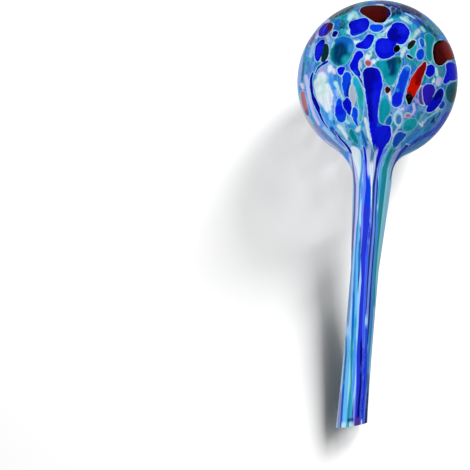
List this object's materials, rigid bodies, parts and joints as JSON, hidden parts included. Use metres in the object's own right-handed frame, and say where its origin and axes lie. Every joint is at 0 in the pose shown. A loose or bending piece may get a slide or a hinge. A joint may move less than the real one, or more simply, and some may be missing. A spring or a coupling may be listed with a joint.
{
  "type": "plant watering globe",
  "caption": "Hollow blown-glass watering globe with a long tapering stem, a slanted open tip and coloured chips fused into its surface.",
  "frame": {"origin": "centre of the stem's open end, on the axis, where the slanted cut crosses it", "axes": "+Z along the stem's axis, from the open tip up to the globe; +X towards the short side of the slanted tip, -Y towards the picture's side"},
  "size_m": [0.0792, 0.0797, 0.2154],
  "materials": {
    "clear_glass": "glossy",
    "cobalt_glass": "glossy",
    "royal_glass": "glossy",
    "teal_glass": "glossy",
    "aqua_glass": "glossy",
    "sky_glass": "glossy",
    "opal_glass": "glossy",
    "violet_glass": "glossy",
    "maroon_glass": "glossy",
    "scarlet_glass": "glossy",
    "black_glass": "glossy",
    "pink_glass": "glossy"
  },
  "bodies": {
    "root": {"clear_wall": "clear_glass", "cobalt_glass": "cobalt_glass", "royal_glass": "royal_glass", "teal_glass": "teal_glass", "aqua_glass": "aqua_glass", "sky_glass": "sky_glass", "opal_glass": "opal_glass", "violet_glass": "violet_glass", "maroon_glass": "maroon_glass", "scarlet_glass": "scarlet_glass", "black_glass": "black_glass", "pink_glass": "pink_glass"}
  },
  "joints": []
}
